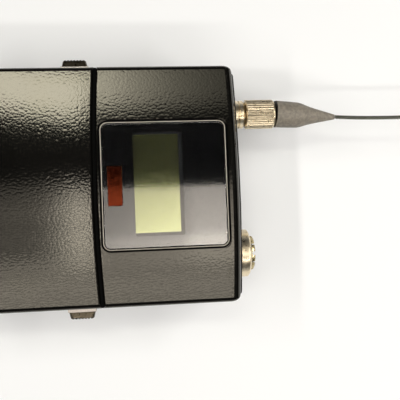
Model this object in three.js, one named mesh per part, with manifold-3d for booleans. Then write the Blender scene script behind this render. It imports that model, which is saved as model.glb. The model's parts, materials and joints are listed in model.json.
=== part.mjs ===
// Wireless bodypack transmitter, in millimetres.
// +X runs along the pack towards the antenna end, +Y towards the antenna side, +Z out of the display face.
// The origin is the centre of the flat back face of the housing.
import * as THREE from "three";
import { mergeVertices } from "three/addons/utils/BufferGeometryUtils.js";
import Module from "manifold-3d";

const wasm = await Module();
wasm.setup();

// ---- driving dimensions -------------------------------------------------------------------------
const BOTTOM_X = -43; // flat bottom end of the pack
const END_SIDE_X = 41.7; // connector end of the shells, at the sides
const END_BOW = 0.8; // how far the connector end bows out at its middle
const HALF_WIDTH = 33;
const DEPTH = 23;
const WALL = 1.5;
const CORNER_R = 3;
const FRONT_EDGE_R = 1.2;
const BACK_EDGE_R = 1.5;
const END_EDGE_R = 2.2; // round-over from the display face into the connector end
const CORNER_STEPS = 8; // facets in each corner of the shells
const EDGE_STEPS = 5; // facets across each rounded edge of the shells
const PARTING_Z = 11.5; // top of the rear housing's side walls
const GAP = 0.3; // running and assembly clearance

const SEAM_SIDE_X = 3.55; // middle of the gap between door and front housing, at the sides
const SEAM_BOW = -1.15;
const SEAM_WIDTH = 0.9;
const DOOR_SEAM_R = 0.7; // round-over of the door's edge along the seam
const HOUSING_SEAM_R = 0.35;
const SEAL_DEPTH = 0.3; // how far the seal's outside lies below the shells' surface
const SEAL_THICK = 1.8;
const SEAL_TO_DOOR = 0.25;
const SEAL_TO_HOUSING = 0.08;

const HINGE_X = -41.3;
const HINGE_Z = 10.9;
const HINGE_NOTCH_Z = 9; // the rear housing's walls stop here under the door's knuckle
const KNUCKLE_R = 1.6;
const KNUCKLE_BORE_R = 0.8;
const HINGE_PIN_R = 0.6;
const EAR_Y = 28.35; // middle of each hinge ear
const EAR_WIDTH = 2.7;

const LATCH_X = -2.25; // middle of each latch tab
const LATCH_LENGTH = 7.6;
const LATCH_HEIGHT = 5;
const LATCH_Z = 15.6;
const LATCH_PROUD = 3.15;

const WINDOW_X = 21.5; // middle of the display window
const WINDOW_LENGTH = 35.4;
const WINDOW_WIDTH = 35.8;
const WINDOW_R = 2.4;
const WINDOW_Z = 22.15; // back of the window
const WINDOW_THICK = 0.8;
const LCD_X = 19.9;
const LCD_Y = 0.4;
const LCD_LENGTH = 13.6;
const LCD_WIDTH = 28.8;
const LCD_MARGIN_X = 1.2; // how far the panel reaches past its visible part
const LCD_MARGIN_Y = 0.8;
const IR_X = 7.8;
const IR_LENGTH = 4.2;
const IR_WIDTH = 11.1;
const IR_GAP = 0.15; // round the filter in its opening

const PANEL_INNER_X = 39.9; // inside face of the connector panel
const PANEL_PROUD = 0.6; // how far the panel stands out past the shells
const CONNECTOR_Z = 11.5;
const COLLAR_X = 42.9; // outside face that the connector flanges sit on

const ANTENNA_Y = 20.75;
const ANTENNA_COLLAR_LENGTH = 3.3;
const ANTENNA_COLLAR_R = 4.1;
const ANTENNA_STUB_R = 2.3;
const ANTENNA_NUT_X = COLLAR_X + ANTENNA_COLLAR_LENGTH + GAP;
const ANTENNA_NUT_LENGTH = 9;
const ANTENNA_NUT_R = 4.3;
const FERRULE_X = ANTENNA_NUT_X + ANTENNA_NUT_LENGTH + GAP;
const FERRULE_THICK = 0.5;
const FERRULE_R = 3.9;
const BOOT_X = FERRULE_X + FERRULE_THICK;
const BOOT_LENGTH = 17.9;
const BOOT_R = 3.95;
const BOOT_GAP = 0.35; // leaves room for the tilt
const BOOT_TILT = THREE.MathUtils.degToRad(-4);
const WHIP_R = 0.6;
const WHIP_LENGTH = 80;

const JACK_Y = -20.1;
const JACK_BORE_R = 3.6;
const JACK_BARREL_R = 5.2;
const JACK_FLANGE_R = 6.9;
const JACK_FLANGE_LENGTH = 3.1;
const JACK_RING_R = 4.95;
const JACK_RING_LENGTH = 1;
const JACK_BORE_X = 36; // floor of the socket
const JACK_PIN_END_X = 43.4;

const CELL_R = 7.25;
const CELL_LENGTH = 50.5;
const WELL_X = -11.6; // middle of the battery well
const WELL_HALF = 26.8;
const CELL_Y = 7.6;
const CELL_Z = 9.4;

const CLIP_WIDTH = 24;
const CLIP_THICK = 1.2;
const CLIP_Z = -7.4; // lowest face, which the pack lies on
const CLIP_BEND_X = 38;

// ---- materials ----------------------------------------------------------------------------------
function finish(color, roughness, metalness, extra = {}) {
  return new THREE.MeshStandardMaterial({ color, roughness, metalness, ...extra });
}

const coated = () => finish(0x45433d, 0.55, 0.2);
const moulded = () => finish(0x23231f, 0.6, 0);
const glossBlack = () => finish(0x0b0b0a, 0.15, 0);
const rubber = () => finish(0x5b564e, 0.8, 0);
const gold = () => finish(0xc9b487, 0.3, 1);
const steel = () => finish(0x9c9a94, 0.35, 1);
const darkSteel = () => finish(0x2f2e2b, 0.4, 0.9);
const board = () => finish(0x1f4a2e, 0.5, 0.1);

// ---- helpers ------------------------------------------------------------------------------------
function solid(geometry) {
  const bare = geometry.index ? geometry.toNonIndexed() : geometry;
  const points = new THREE.BufferGeometry().setAttribute("position", bare.getAttribute("position"));
  const merged = mergeVertices(points, 1e-4);
  return new wasm.Manifold(new wasm.Mesh({
    numProp: 3,
    vertProperties: merged.attributes.position.array,
    triVerts: new Uint32Array(merged.index.array),
  }));
}

function geometryOf(manifold) {
  const cut = manifold.getMesh();
  const geometry = new THREE.BufferGeometry();
  geometry.setAttribute("position", new THREE.BufferAttribute(cut.vertProperties, 3));
  geometry.setIndex(new THREE.BufferAttribute(cut.triVerts, 1));
  return geometry;
}

const part = new THREE.Group();

function add(name, shape, material, parent = part) {
  const geometry = shape instanceof THREE.BufferGeometry ? shape : geometryOf(shape);
  const mesh = new THREE.Mesh(geometry, material);
  mesh.name = name;
  parent.add(mesh);
  return mesh;
}

function box(x0, x1, y0, y1, z0, z1) {
  const geometry = new THREE.BoxGeometry(x1 - x0, y1 - y0, z1 - z0);
  return geometry.translate((x0 + x1) / 2, (y0 + y1) / 2, (z0 + z1) / 2);
}

function rod(axis, radius, from, to, a, b, sides = 24) {
  // A cylinder along an axis; a and b are its other two coordinates, in X, Y, Z order.
  const geometry = new THREE.CylinderGeometry(radius, radius, to - from, sides);
  const middle = (from + to) / 2;
  if (axis === "x") return geometry.rotateZ(-Math.PI / 2).translate(middle, a, b);
  if (axis === "y") return geometry.translate(a, middle, b);
  return geometry.rotateX(Math.PI / 2).translate(a, b, middle);
}

function turnedX(profile, y, z, sides = 24) {
  // A lathe about an axis parallel to X; profile points are [x, radius], starting and ending on the axis
  // or closing on themselves.
  const points = profile.map(([x, radius]) => new THREE.Vector2(radius, x));
  return new THREE.LatheGeometry(points, sides).rotateZ(-Math.PI / 2).translate(0, y, z);
}

function prism(shape, z0, z1, curveSegments = 5) {
  const geometry = new THREE.ExtrudeGeometry(shape, { depth: z1 - z0, bevelEnabled: false, curveSegments });
  return geometry.translate(0, 0, z0);
}

function roundedPrism(shape, z0, z1, radius, curveSegments = 5, bevelSegments = 3) {
  const geometry = new THREE.ExtrudeGeometry(shape, {
    depth: z1 - z0 - 2 * radius,
    bevelEnabled: true,
    bevelThickness: radius,
    bevelSize: radius,
    bevelOffset: -radius,
    bevelSegments,
    curveSegments,
  });
  return geometry.translate(0, 0, z0 + radius);
}

function outline(left, right, half, leftR, rightR, leftBow = 0, rightBow = 0) {
  // The plan of a shell: straight sides, rounded corners and ends that bow by a given amount.
  const shape = new THREE.Shape();
  shape.moveTo(left + leftR, -half);
  shape.lineTo(right - rightR, -half);
  if (rightR > 0) shape.quadraticCurveTo(right, -half, right, -half + rightR);
  shape.quadraticCurveTo(right + 2 * rightBow, 0, right, half - rightR);
  if (rightR > 0) shape.quadraticCurveTo(right, half, right - rightR, half);
  shape.lineTo(left + leftR, half);
  if (leftR > 0) shape.quadraticCurveTo(left, half, left, half - leftR);
  shape.quadraticCurveTo(left + 2 * leftBow, 0, left, -half + leftR);
  if (leftR > 0) shape.quadraticCurveTo(left, -half, left + leftR, -half);
  return shape;
}

function roundedRect(x, y, length, width, radius) {
  return outline(x - length / 2, x + length / 2, width / 2, radius, radius).getPoints(6)
    .map((point) => new THREE.Vector2(point.x, point.y + y));
}

function slab(x, y, length, width, z0, z1, radius) {
  return prism(new THREE.Shape(roundedRect(x, y, length, width, radius)), z0, z1);
}

const sides = [["upper", 1], ["lower", -1]];
const CASE_SCREWS = [[33.5, 29], [33.5, -29], [9, 29], [9, -29]];
const CLIP_SCREWS = [[28, 6.5], [28, -6.5]];
const CASE_SCREW_R = 1;
const SCREW_HOLE_R = 1.3;

// ---- housing ------------------------------------------------------------------------------------
function hingeEar(side) {
  const y0 = side * EAR_Y - EAR_WIDTH / 2;
  const y1 = side * EAR_Y + EAR_WIDTH / 2;
  const round = solid(rod("y", 1.4, y0, y1, HINGE_X, HINGE_Z, 16));
  const web = solid(box(HINGE_X - 1.2, HINGE_X + 1.2, y0, y1, HINGE_NOTCH_Z - 1, HINGE_Z));
  return round.add(web);
}

function rearHousing() {
  const outer = outline(BOTTOM_X, END_SIDE_X, HALF_WIDTH, CORNER_R, CORNER_R, 0, END_BOW);
  const inner = outline(BOTTOM_X + WALL, END_SIDE_X - WALL, HALF_WIDTH - WALL, 2, 2, 0, END_BOW);
  let shell = solid(roundedPrism(outer, 0, DEPTH, BACK_EDGE_R, CORNER_STEPS, EDGE_STEPS));
  shell = shell.subtract(solid(prism(inner, WALL, DEPTH + 1)));
  shell = shell.subtract(solid(box(-60, 60, -40, 40, PARTING_Z, 30)));
  shell = shell.subtract(solid(box(-60, HINGE_X + 2, -40, 40, HINGE_NOTCH_Z, 30)));
  shell = shell.subtract(solid(box(PANEL_INNER_X - 0.9, 60, -31.8, 31.8, 1.9, 30)));
  for (const [, side] of sides) shell = shell.add(hingeEar(side));
  shell = shell.subtract(solid(rod("y", KNUCKLE_BORE_R, -40, 40, HINGE_X, HINGE_Z, 12)));
  for (const [x, y] of CASE_SCREWS) {
    shell = shell.add(solid(rod("z", 3.2, WALL - 0.5, PARTING_Z, x, y, 16)));
    shell = shell.subtract(solid(rod("z", SCREW_HOLE_R, -1, 20, x, y, 12)));
    shell = shell.subtract(solid(rod("z", 2.4, -1, 1.9, x, y, 16)));
  }
  for (const [x, y] of CLIP_SCREWS) {
    shell = shell.subtract(solid(rod("z", SCREW_HOLE_R, -1, 3, x, y, 12)));
  }
  return shell;
}

const ROUNDING_EXTRA = 5; // how far a rounding block stands out past the shells on its other sides

function widenedBow(bow) {
  // A bowed edge keeps its curve when it is drawn longer if its bow grows with the square of its length.
  const half = HALF_WIDTH - CORNER_R;
  return bow * ((half + ROUNDING_EXTRA) / half) ** 2;
}

function endRounding() {
  // A block with the connector end's bow and its round-over, and larger than the pack elsewhere.
  const bow = widenedBow(END_BOW);
  const half = HALF_WIDTH - CORNER_R + ROUNDING_EXTRA;
  const plan = outline(-60, END_SIDE_X + END_BOW - bow, half, 0, 0, 0, bow);
  return solid(roundedPrism(plan, -20, DEPTH, END_EDGE_R, 2 * CORNER_STEPS, EDGE_STEPS));
}

function seamRounding(side, radius) {
  // A block whose edge follows one side of the seam, -1 for the door and 1 for the front housing.
  const bow = SEAM_BOW * ((HALF_WIDTH + ROUNDING_EXTRA) / HALF_WIDTH) ** 2;
  const edge = SEAM_SIDE_X + (side * SEAM_WIDTH) / 2 + SEAM_BOW - bow;
  const half = HALF_WIDTH + ROUNDING_EXTRA;
  const plan = side > 0 ? outline(edge, 80, half, 0, 0, bow, 0) : outline(-80, edge, half, 0, 0, 0, bow);
  return solid(roundedPrism(plan, -20, DEPTH, radius, 2 * CORNER_STEPS, EDGE_STEPS));
}

function frontHousing() {
  const left = SEAM_SIDE_X - 5;
  const outer = outline(left, END_SIDE_X, HALF_WIDTH, 0, CORNER_R, 0, END_BOW);
  const inner = outline(left - 6, END_SIDE_X - WALL, HALF_WIDTH - WALL, 0, 2, 0, END_BOW - 0.4);
  let shell = solid(roundedPrism(outer, 0, DEPTH, FRONT_EDGE_R, CORNER_STEPS, EDGE_STEPS));
  shell = shell.intersect(endRounding()).intersect(seamRounding(1, HOUSING_SEAM_R));
  shell = shell.subtract(solid(prism(inner, -1, DEPTH - WALL)));
  shell = shell.subtract(solid(box(-60, 60, -40, 40, -5, PARTING_Z + GAP)));
  shell = shell.subtract(solid(box(PANEL_INNER_X - 0.9, 60, -31.8, 31.8, -5, 20.3)));
  const recess = slab(WINDOW_X, 0, WINDOW_LENGTH + 0.5, WINDOW_WIDTH + 0.5, 22.1, 30, WINDOW_R);
  shell = shell.subtract(solid(recess));
  const opening = slab(WINDOW_X, 0, WINDOW_LENGTH - 4, WINDOW_WIDTH - 4, 10, 30, 1);
  shell = shell.subtract(solid(opening));
  for (const [x, y] of CASE_SCREWS) {
    shell = shell.add(solid(rod("z", 2.6, PARTING_Z + GAP, DEPTH - WALL + 0.4, x, y, 16)));
    shell = shell.subtract(solid(rod("z", SCREW_HOLE_R, -1, 18, x, y, 12)));
  }
  return shell;
}

function endPanel() {
  const right = END_SIDE_X + PANEL_PROUD;
  const plan = outline(PANEL_INNER_X, right, 31.4, 0, 1.2, 0, END_BOW);
  let panel = solid(roundedPrism(plan, 2.2, 20, 0.3, 5, 1));
  panel = panel.subtract(solid(rod("x", 3.4, 30, 60, ANTENNA_Y, CONNECTOR_Z)));
  panel = panel.subtract(solid(rod("x", JACK_BARREL_R + GAP, 30, 60, JACK_Y, CONNECTOR_Z)));
  panel = panel.subtract(solid(rod("x", 1.6, 30, 60, 9.5, CONNECTOR_Z, 16)));
  panel = panel.subtract(solid(box(30, 60, -4, 4, CONNECTOR_Z - 1.9, CONNECTOR_Z + 1.9)));
  return panel;
}

// ---- battery door, its hinge and its latches -----------------------------------------------------
function batteryDoor() {
  const right = SEAM_SIDE_X + 5;
  const outer = outline(BOTTOM_X, right, HALF_WIDTH, CORNER_R, 0);
  const inner = outline(BOTTOM_X + WALL, right + 6, HALF_WIDTH - WALL, 2, 0);
  let door = solid(roundedPrism(outer, 0, DEPTH, FRONT_EDGE_R, CORNER_STEPS, EDGE_STEPS));
  door = door.intersect(seamRounding(-1, DOOR_SEAM_R));
  door = door.subtract(solid(prism(inner, -1, DEPTH - WALL)));
  door = door.subtract(solid(box(-60, 60, -40, 40, -5, PARTING_Z + GAP)));
  const knuckle = solid(rod("y", KNUCKLE_R, -HALF_WIDTH + 0.1, HALF_WIDTH - 0.1, HINGE_X, HINGE_Z, 20));
  const web = solid(box(BOTTOM_X + 0.25, HINGE_X - 0.2, -32, 32, HINGE_Z, 13));
  door = door.add(knuckle).add(web);
  for (const [, side] of sides) {
    const cheek = side * 31.9;
    door = door.add(solid(box(HINGE_X - 1.45, HINGE_X + 1.45, cheek - 0.8, cheek + 0.8, HINGE_Z, 12.5)));
    const slot0 = side * EAR_Y - EAR_WIDTH / 2 - GAP;
    const slot1 = side * EAR_Y + EAR_WIDTH / 2 + GAP;
    door = door.subtract(solid(box(-50, HINGE_X + 3, slot0, slot1, 0, HINGE_Z + 1.8)));
    const hole = side * HALF_WIDTH;
    const halfLength = LATCH_LENGTH / 2 + GAP;
    const halfHeight = LATCH_HEIGHT / 2 + GAP;
    door = door.subtract(solid(box(LATCH_X - halfLength, LATCH_X + halfLength, hole - 3, hole + 3,
      LATCH_Z - halfHeight, LATCH_Z + halfHeight)));
  }
  door = door.subtract(solid(rod("y", KNUCKLE_BORE_R, -40, 40, HINGE_X, HINGE_Z, 16)));
  return door;
}

function doorSeal() {
  // A rubber strip that follows the seam over the face and down both sides, clear of the door.
  const half = HALF_WIDTH - SEAL_DEPTH;
  const top = DEPTH - SEAL_DEPTH;
  const outside = solid(roundedPrism(outline(-20, 20, half, 0, 0), 5, top, FRONT_EDGE_R, 1, 3));
  const inner = half - SEAL_THICK;
  const inside = solid(box(-30, 30, -inner, inner, 0, top - SEAL_THICK));
  const left = SEAM_SIDE_X - SEAM_WIDTH / 2 + SEAL_TO_DOOR;
  const right = SEAM_SIDE_X + SEAM_WIDTH / 2 - SEAL_TO_HOUSING;
  const plan = outline(left, right, HALF_WIDTH, 0, 0, SEAM_BOW, SEAM_BOW);
  const strip = solid(prism(plan, PARTING_Z + GAP, DEPTH, 2 * CORNER_STEPS));
  return strip.intersect(outside).subtract(inside);
}

function latch(side) {
  // The pressed pad, the flange that keeps it in the door, and the hook that holds the door shut.
  const pad = new THREE.Shape(roundedRect(LATCH_X, 0, LATCH_LENGTH, LATCH_HEIGHT, 0.7));
  const padSolid = solid(roundedPrism(pad, -2.1, LATCH_PROUD, 0.4, 3, 2)
    .rotateX(-Math.PI / 2).translate(0, HALF_WIDTH, LATCH_Z));
  const flange = solid(box(LATCH_X - 4.4, LATCH_X + 4.2, 30, 31.2, LATCH_Z - 3.3, LATCH_Z + 3.3));
  const hook = solid(box(LATCH_X - 2, LATCH_X + 2, 30, 31, 8.5, LATCH_Z));
  const piece = padSolid.add(flange).add(hook);
  return side > 0 ? piece : piece.mirror([0, 1, 0]);
}

// ---- display ------------------------------------------------------------------------------------
function irOpening() {
  return solid(box(IR_X - IR_LENGTH / 2, IR_X + IR_LENGTH / 2, -IR_WIDTH / 2, IR_WIDTH / 2, 10, 30));
}

function displayWindow() {
  const top = WINDOW_Z + WINDOW_THICK;
  const plate = slab(WINDOW_X, 0, WINDOW_LENGTH, WINDOW_WIDTH, WINDOW_Z, top, WINDOW_R);
  return solid(plate).subtract(irOpening());
}

function displayBezel() {
  // The black mask behind the window, with apertures for the LCD and the infrared port.
  let bezel = solid(slab(WINDOW_X, 0, WINDOW_LENGTH - 4.6, WINDOW_WIDTH - 4.6, 20.4, 21.9, 0.8));
  bezel = bezel.subtract(solid(slab(LCD_X, LCD_Y, LCD_LENGTH, LCD_WIDTH, 10, 30, 0.3)));
  return bezel.subtract(irOpening());
}

function lcdLayer(z0, z1) {
  const halfX = LCD_LENGTH / 2 + LCD_MARGIN_X;
  const halfY = LCD_WIDTH / 2 + LCD_MARGIN_Y;
  return box(LCD_X - halfX, LCD_X + halfX, LCD_Y - halfY, LCD_Y + halfY, z0, z1);
}

function addDisplay() {
  const clear = finish(0x0b0b0a, 0.05, 0, { transparent: true, opacity: 0.35 });
  add("display_window", displayWindow(), clear);
  add("display_bezel", displayBezel(), glossBlack());
  add("lcd_glass", lcdLayer(19, 20.1), finish(0xa9ab78, 0.3, 0));
  add("lcd_backlight", lcdLayer(17, 18.7), finish(0xd8d8c8, 0.5, 0));
  const irX = IR_LENGTH / 2 - IR_GAP;
  const irY = IR_WIDTH / 2 - IR_GAP;
  const irTop = WINDOW_Z + WINDOW_THICK - 0.05;
  add("ir_filter", box(IR_X - irX, IR_X + irX, -irY, irY, 20.9, irTop), finish(0x6e1512, 0.25, 0));
  add("ir_sensor", box(IR_X - 1.6, IR_X + 1.6, -2.4, 2.4, 17.9, 20.1), glossBlack());
}

// ---- electronics and controls --------------------------------------------------------------------
const BUTTON_YS = [-13.5, -4.5, 4.5, 13.5];
const BUTTON_X = -2.9;

function controlPanel() {
  let panel = solid(box(-7, 5.2, -21, 21, 17.2, 20.9));
  panel = panel.subtract(solid(box(0.9, 10, -30, 30, 18.6, 30)));
  panel = panel.subtract(solid(box(-6, 0.1, -20, 20, 10, 20)));
  for (const y of BUTTON_YS) {
    panel = panel.subtract(solid(slab(BUTTON_X, y, 5, 6.6, 10, 30, 1)));
  }
  return panel;
}

function menuButton(y) {
  const cap = solid(slab(BUTTON_X, y, 4.4, 6, 18.9, 21.2, 0.8));
  const flange = solid(box(BUTTON_X - 2.8, BUTTON_X + 2.8, y - 3.7, y + 3.7, 18.9, 19.6));
  return cap.add(flange);
}

function shieldCan() {
  const outer = solid(box(19, 33, -6, 22, 5.1, 7.5));
  return outer.subtract(solid(box(19.4, 32.6, -5.6, 21.6, 5, 7.1)));
}

function switchSlider() {
  const nub = solid(box(39, 43.6, -1.9, 0.9, CONNECTOR_Z - 1.6, CONNECTOR_Z + 1.6));
  const flange = solid(box(38.6, 39.6, -3.2, 2.2, CONNECTOR_Z - 2.6, CONNECTOR_Z + 2.6));
  let slider = nub.add(flange);
  for (const y of [-1.2, -0.5, 0.2]) {
    slider = slider.subtract(solid(box(43.3, 44, y - 0.15, y + 0.15, 0, 20)));
  }
  return slider;
}

function addElectronics() {
  add("main_board", box(17, 38.3, -24, 24, 3.8, 4.8), board());
  add("rf_shield_can", shieldCan(), steel());
  add("power_switch_body", box(34.4, 38.2, -5.5, 5.5, 5.1, 14.6), moulded());
  add("power_switch_slider", switchSlider(), moulded());
  add("status_led_lens", rod("x", 1.3, 38.6, 43.3, 9.5, CONNECTOR_Z, 16), finish(0x8fb58a, 0.3, 0));
  add("control_panel", controlPanel(), moulded());
  add("control_board", box(-5.8, -0.1, -19.8, 19.8, 17.3, 18.1), board());
  BUTTON_YS.forEach((y, index) => add(`menu_button_${index + 1}`, menuButton(y), rubber()));
}

// ---- battery compartment -------------------------------------------------------------------------
function batteryTray() {
  const deck = solid(box(-39.2, 4, -28.2, 28.2, 11, 12));
  const tub = solid(box(WELL_X - WELL_HALF - 0.8, WELL_X + WELL_HALF + 0.8, -16.4, 16.4, 1.8, 12));
  const well = solid(box(WELL_X - WELL_HALF, WELL_X + WELL_HALF, -15.4, 15.4, 2.1, 20));
  const spine = solid(box(-30, 8, -0.15, 0.15, 2, 6));
  return deck.add(tub).subtract(well).add(spine);
}

function cell() {
  // An AA cell standing along +X from its flat end.
  return turnedX([[0, 0], [0, 6.6], [0.4, CELL_R], [CELL_LENGTH - 1.6, CELL_R], [CELL_LENGTH - 1.2, 6.8],
    [CELL_LENGTH - 1.2, 2.8], [CELL_LENGTH, 2.5], [CELL_LENGTH, 0]], 0, 0);
}

class ConicalCoil extends THREE.Curve {
  getPoint(t) {
    const angle = t * 3 * 2 * Math.PI;
    const radius = 4.6 - 2.4 * t;
    return new THREE.Vector3(t * 1.5, radius * Math.cos(angle), radius * Math.sin(angle));
  }
}

function contactSpring() {
  const wire = new THREE.Shape().absarc(0, 0, 0.2, 0, 2 * Math.PI);
  return new THREE.ExtrudeGeometry(wire, {
    steps: 36, curveSegments: 3, bevelEnabled: false, extrudePath: new ConicalCoil(),
  });
}

function addBattery() {
  // The two cells lie head to tail, each pressed on its flat end by a conical spring.
  add("battery_tray", batteryTray(), moulded());
  sides.forEach(([, side], index) => {
    const bay = new THREE.Group();
    bay.position.set(WELL_X, side * CELL_Y, CELL_Z);
    bay.rotation.z = side > 0 ? 0 : Math.PI;
    part.add(bay);
    const number = index + 1;
    const body = add(`aa_cell_${number}`, cell(), finish(0x9a8a52, 0.4, 0.4), bay);
    body.position.x = -WELL_HALF + 2.4;
    const spring = add(`contact_spring_${number}`, contactSpring(), gold(), bay);
    spring.position.x = -WELL_HALF + 0.4;
    add(`contact_plate_${number}`, box(WELL_HALF - 0.5, WELL_HALF - 0.1, -4.5, 4.5, -4.5, 3), gold(), bay);
  });
}

// ---- antenna -------------------------------------------------------------------------------------
function antennaSocket() {
  const end = COLLAR_X + ANTENNA_COLLAR_LENGTH;
  const stubEnd = end + 5.4;
  return turnedX([[33.5, 0], [33.5, 3.1], [COLLAR_X, 3.1], [COLLAR_X, ANTENNA_COLLAR_R - 0.2],
    [COLLAR_X + 0.2, ANTENNA_COLLAR_R], [end - 0.2, ANTENNA_COLLAR_R], [end, ANTENNA_COLLAR_R - 0.2],
    [end, ANTENNA_STUB_R], [stubEnd, ANTENNA_STUB_R], [stubEnd, 0]], ANTENNA_Y, CONNECTOR_Z);
}

function hexNut(x0, x1, radius, bore, y) {
  const nut = solid(rod("x", radius, x0, x1, y, CONNECTOR_Z, 6));
  return nut.subtract(solid(rod("x", bore, x0 - 1, x1 + 1, y, CONNECTOR_Z)));
}

function antennaNut() {
  // A straight-knurled coupling nut with a shoulder that traps the antenna's stem.
  const teeth = 24;
  const shape = new THREE.Shape();
  for (let i = 0; i < teeth * 2; i += 1) {
    const angle = (i * Math.PI) / teeth;
    const radius = i % 2 ? ANTENNA_NUT_R : ANTENNA_NUT_R - 0.25;
    shape[i ? "lineTo" : "moveTo"](radius * Math.cos(angle), radius * Math.sin(angle));
  }
  const end = ANTENNA_NUT_X + ANTENNA_NUT_LENGTH;
  const body = solid(prism(shape, ANTENNA_NUT_X, end).rotateY(Math.PI / 2)
    .translate(0, ANTENNA_Y, CONNECTOR_Z));
  const thread = solid(rod("x", 2.7, ANTENNA_NUT_X - 1, end - 1.8, ANTENNA_Y, CONNECTOR_Z));
  return body.subtract(thread).subtract(solid(rod("x", 1.9, 40, 70, ANTENNA_Y, CONNECTOR_Z)));
}

function antennaFerrule() {
  // The black ring behind the boot, on a stem whose flange is trapped inside the coupling nut.
  const stem = COLLAR_X + ANTENNA_COLLAR_LENGTH + 5.7;
  return turnedX([[stem, 0], [stem, 2.3], [stem + 0.9, 2.3], [stem + 0.9, 1.5], [FERRULE_X, 1.5],
    [FERRULE_X, FERRULE_R], [FERRULE_X + FERRULE_THICK, FERRULE_R], [FERRULE_X + FERRULE_THICK, 0]],
  ANTENNA_Y, CONNECTOR_Z);
}

function whipCurve() {
  // From the boot's tip the wire leans with the boot, then bends gently back past the axis.
  const lean = Math.tan(BOOT_TILT);
  return new THREE.CatmullRomCurve3([
    new THREE.Vector3(0, 0, 0),
    new THREE.Vector3(8, 8 * lean * 0.7, 0),
    new THREE.Vector3(24, 24 * lean * 0.28, 0.1),
    new THREE.Vector3(50, 0.4, 0.3),
    new THREE.Vector3(WHIP_LENGTH, 1.6, 0.4),
  ]);
}

function addAntenna() {
  add("antenna_socket", antennaSocket(), gold());
  add("antenna_socket_nut", hexNut(37.2, 39.5, 4.6, 3.4, ANTENNA_Y), steel());
  add("antenna_nut", antennaNut(), gold());
  add("antenna_ferrule", antennaFerrule(), moulded());
  const boot = new THREE.Group();
  boot.position.set(BOOT_X, ANTENNA_Y, CONNECTOR_Z);
  boot.rotation.z = BOOT_TILT;
  part.add(boot);
  add("antenna_boot", turnedX([[BOOT_GAP, 0], [BOOT_GAP, BOOT_R - 0.2], [2 * BOOT_GAP, BOOT_R],
    [7.6, BOOT_R - 0.35], [8.4, BOOT_R - 0.7], [BOOT_LENGTH, 0.8], [BOOT_LENGTH, 0]], 0, 0, 20), rubber(), boot);
  const root = new THREE.Vector3(BOOT_LENGTH + GAP, 0, 0).applyEuler(boot.rotation).add(boot.position);
  const wire = new THREE.Shape().absarc(0, 0, WHIP_R, 0, 2 * Math.PI);
  const whip = add("antenna_whip", new THREE.ExtrudeGeometry(wire, {
    steps: 24, curveSegments: 4, bevelEnabled: false, extrudePath: whipCurve(),
  }), darkSteel());
  whip.position.copy(root);
  const tip = add("antenna_tip", turnedX([[0, 0], [0, 0.9], [0.3, 1.1], [3, 1.1], [3.7, 0.7], [3.9, 0]],
    0, 0, 12), moulded());
  const tangent = whipCurve().getTangent(1);
  tip.position.copy(whipCurve().getPoint(1).addScaledVector(tangent, GAP)).add(root);
  tip.rotation.z = Math.atan2(tangent.y, tangent.x);
}

// ---- input jack ----------------------------------------------------------------------------------
const PIN_CIRCLE_R = 1.7;

function pinPlaces() {
  return [0, 1, 2, 3].map((i) => {
    const angle = (i + 0.5) * Math.PI / 2;
    return [JACK_Y + PIN_CIRCLE_R * Math.cos(angle), CONNECTOR_Z + PIN_CIRCLE_R * Math.sin(angle)];
  });
}

function jackShell() {
  const back = JACK_BORE_X - 3;
  const face = COLLAR_X + JACK_FLANGE_LENGTH;
  return turnedX([[back, 0], [back, JACK_BARREL_R], [COLLAR_X, JACK_BARREL_R],
    [COLLAR_X, JACK_FLANGE_R - 0.3], [COLLAR_X + 0.3, JACK_FLANGE_R], [face - 0.9, JACK_FLANGE_R],
    [face, JACK_FLANGE_R - 1], [face, JACK_BORE_R], [JACK_BORE_X, JACK_BORE_R], [JACK_BORE_X, 0]],
  JACK_Y, CONNECTOR_Z, 32);
}

function jackRing() {
  // A castellated ring, turned with a spanner in its notches.
  const back = COLLAR_X + JACK_FLANGE_LENGTH + GAP;
  let ring = solid(rod("x", JACK_RING_R, back, back + JACK_RING_LENGTH, JACK_Y, CONNECTOR_Z, 32));
  ring = ring.subtract(solid(rod("x", JACK_BORE_R + 0.2, 40, 60, JACK_Y, CONNECTOR_Z, 32)));
  for (let i = 0; i < 4; i += 1) {
    const notch = box(back + 0.4, back + 3, -0.7, 0.7, -6, 6);
    notch.rotateX((i * Math.PI) / 4).translate(0, JACK_Y, CONNECTOR_Z);
    ring = ring.subtract(solid(notch));
  }
  return ring;
}

function jackInsert() {
  let insert = solid(rod("x", JACK_BORE_R - GAP, JACK_BORE_X + GAP, 39, JACK_Y, CONNECTOR_Z));
  for (const [y, z] of pinPlaces()) insert = insert.subtract(solid(rod("x", 0.7, 30, 50, y, z, 12)));
  return insert;
}

function jackNut() {
  const nut = solid(rod("x", JACK_BARREL_R + 1.2, 37.2, 39.5, JACK_Y, CONNECTOR_Z, 32));
  return nut.subtract(solid(rod("x", JACK_BARREL_R + GAP, 30, 50, JACK_Y, CONNECTOR_Z, 32)));
}

function addJack() {
  add("input_jack_shell", jackShell(), gold());
  add("input_jack_ring", jackRing(), gold());
  add("input_jack_insert", jackInsert(), moulded());
  add("input_jack_nut", jackNut(), steel());
  pinPlaces().forEach(([y, z], index) => add(`input_pin_${index + 1}`,
    turnedX([[JACK_BORE_X + GAP, 0], [JACK_BORE_X + GAP, 0.4], [JACK_PIN_END_X - 0.4, 0.4],
      [JACK_PIN_END_X, 0.2], [JACK_PIN_END_X, 0]], y, z, 10), gold()));
}

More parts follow.
